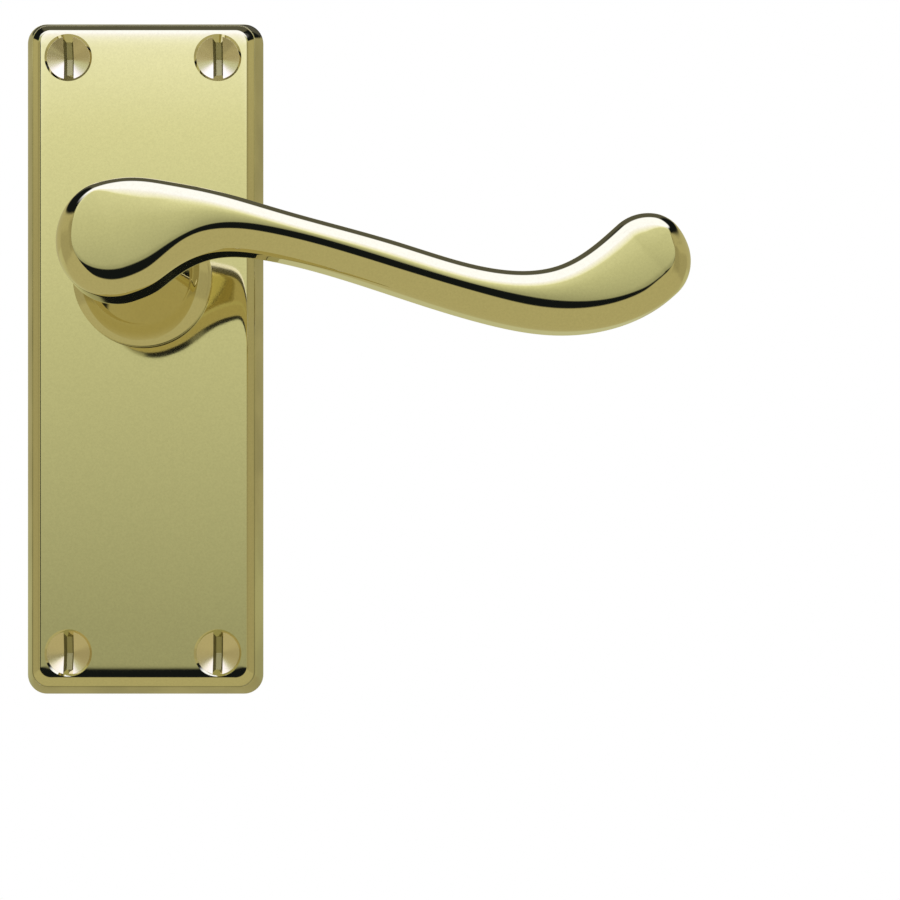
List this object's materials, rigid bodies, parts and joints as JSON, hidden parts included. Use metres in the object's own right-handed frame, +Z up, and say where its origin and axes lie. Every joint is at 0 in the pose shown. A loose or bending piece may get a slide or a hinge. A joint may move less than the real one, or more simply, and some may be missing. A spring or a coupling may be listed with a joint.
{
  "type": "lever door handle on backplate",
  "caption": "Polished brass scroll lever handle on a short rectangular latch backplate, with a centring return spring behind the plate and a square spindle through the door.",
  "frame": {"origin": "where the spindle axis meets the plane of the door face, at the back of the backplate", "axes": "+Z up the door, +X along the lever from the spindle to its scroll end, +Y into the door along the spindle"},
  "size_m": [0.1095, 0.1225, 0.118],
  "materials": {
    "polished_brass_plate": "mirror polished",
    "polished_brass_lever": "mirror polished",
    "polished_brass_screws": "polished",
    "white_nylon": "satin",
    "spring_steel": "drawn",
    "zinc_plated_steel": "zinc plated",
    "bright_steel": "bright drawn",
    "blackened_steel": "blackened"
  },
  "bodies": {
    "plate": {"backplate": "polished_brass_plate", "neck_bush": "white_nylon", "spring_cover": "zinc_plated_steel", "cover_screws": "bright_steel", "return_spring": "spring_steel", "wood_screws": "polished_brass_screws"},
    "handle": {"lever": "polished_brass_lever", "drive_cam": "zinc_plated_steel", "thrust_washer": "bright_steel", "circlip": "blackened_steel", "spindle": "bright_steel"}
  },
  "joints": [
    {"name": "lever_turn", "type": "hinge", "parent": "plate", "child": "handle", "pos_m": [0, 0, 0], "axis": [0, 1, 0], "range_deg": [-45, 45], "stiffness_Nm_per_rad": 1.6, "springref_deg": -1.19, "deforming": ["return_spring"]}
  ]
}
